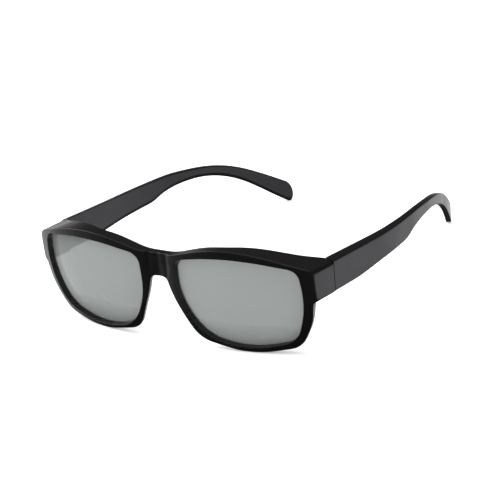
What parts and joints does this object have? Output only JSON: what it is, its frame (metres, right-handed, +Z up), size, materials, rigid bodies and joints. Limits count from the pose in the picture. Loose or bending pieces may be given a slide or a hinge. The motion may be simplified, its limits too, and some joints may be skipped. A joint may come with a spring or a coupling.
{
  "type": "driving sunglasses",
  "caption": "Wraparound driving sunglasses with a deep brow, curved tinted lenses set into the front, and temples that fold on screwed metal hinges.",
  "frame": {"origin": "on the table plane, under the middle of the standing glasses: halfway from the front to the temple tips, on the mirror plane", "axes": "+X toward the wearer's left, +Y from the front back toward the ears, +Z up from the table"},
  "size_m": [0.146, 0.1596, 0.0473],
  "materials": {
    "front_plastic": "smooth moulded black plastic, satin",
    "temple_plastic": "smooth moulded black plastic, satin",
    "lens": "grey tinted lens with a faint mirror coat",
    "steel": "plain satin steel"
  },
  "bodies": {
    "front": {"front_frame": "front_plastic", "lens_left": "lens", "lens_right": "lens", "front_hinge_leaf_left": "steel", "hinge_screw_left": "steel", "front_leaf_screws_left": "steel", "front_hinge_leaf_right": "steel", "hinge_screw_right": "steel", "front_leaf_screws_right": "steel"},
    "temple_arm_left": {"temple_left": "temple_plastic", "temple_hinge_leaf_left": "steel", "temple_leaf_screws_left": "steel"},
    "temple_arm_right": {"temple_right": "temple_plastic", "temple_hinge_leaf_right": "steel", "temple_leaf_screws_right": "steel"}
  },
  "joints": [
    {"name": "temple_fold_left", "type": "hinge", "parent": "front", "child": "temple_arm_left", "pos_m": [0.0683, -0.05325, 0.03164], "axis": [0, 0.0704, 0.9975], "range_deg": [0, 81.5]},
    {"name": "temple_fold_right", "type": "hinge", "parent": "front", "child": "temple_arm_right", "pos_m": [-0.0683, -0.05325, 0.03164], "axis": [0, -0.0704, -0.9975], "range_deg": [0, 76]}
  ]
}
